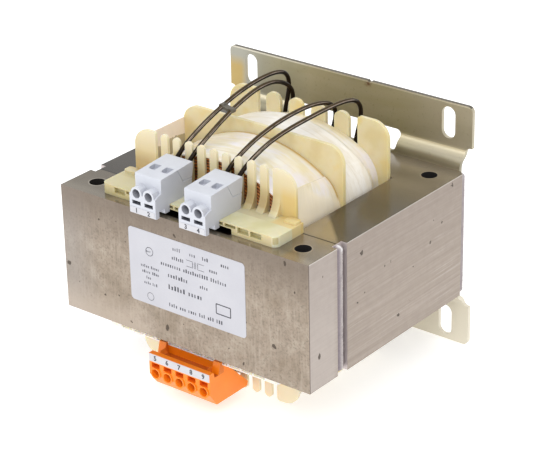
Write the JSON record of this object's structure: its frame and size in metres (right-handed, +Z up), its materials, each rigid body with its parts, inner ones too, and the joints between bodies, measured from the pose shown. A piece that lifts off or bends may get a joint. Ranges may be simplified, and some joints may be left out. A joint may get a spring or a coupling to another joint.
{
  "type": "isolation transformer",
  "caption": "Open chassis transformer with a welded laminated core, two-section bobbin, clamp terminals above and below and a jogged slotted bracket behind.",
  "frame": {"origin": "centre of the mounting plane at the backs of the two bracket flanges, at the middle of the width and of the stack", "axes": "+X to the right seen from the front, +Y out of the back towards the panel, +Z up through the stack"},
  "size_m": [0.15, 0.1375, 0.1403],
  "materials": {
    "silicon_steel": "worn satin, stained",
    "weld_steel": "rippled, bright",
    "passivated_steel": "satin with uneven tint",
    "cream_nylon": "semi-matt, slightly translucent",
    "copper_wire": "enamelled turns",
    "insulation_film": "glossy film",
    "insulation_tape": "soft gloss",
    "white_plastic": "semi-matt",
    "orange_plastic": "semi-matt",
    "clamp_steel": "plain",
    "marker_strip": "printed strip",
    "label_film": "printed film",
    "lead_insulation": "glossy",
    "tie_plastic": "matt"
  },
  "bodies": {
    "root": {"e_laminations": "silicon_steel", "i_laminations": "silicon_steel", "mounting_bracket": "passivated_steel", "weld_bead_front_right": "weld_steel", "weld_bead_front_left": "weld_steel", "weld_bead_rear_right": "weld_steel", "weld_bead_rear_left": "weld_steel", "bobbin": "cream_nylon", "front_winding": "copper_wire", "front_winding_wrap": "insulation_film", "rear_winding": "copper_wire", "rear_winding_tape": "insulation_tape", "rear_winding_band": "insulation_film", "side_sheet_left": "insulation_film", "side_sheet_right": "insulation_film", "terminal_carrier_top": "cream_nylon", "terminal_carrier_bottom": "cream_nylon", "input_housing_left": "white_plastic", "input_housing_right": "white_plastic", "input_clamps_left": "clamp_steel", "input_clamps_right": "clamp_steel", "input_marker_left": "marker_strip", "input_marker_right": "marker_strip", "output_housing": "orange_plastic", "output_clamps": "clamp_steel", "output_marker": "marker_strip", "rating_label": "label_film", "lead_1": "lead_insulation", "lead_2": "lead_insulation", "lead_3": "lead_insulation", "lead_4": "lead_insulation", "lead_tie": "tie_plastic"}
  },
  "joints": []
}
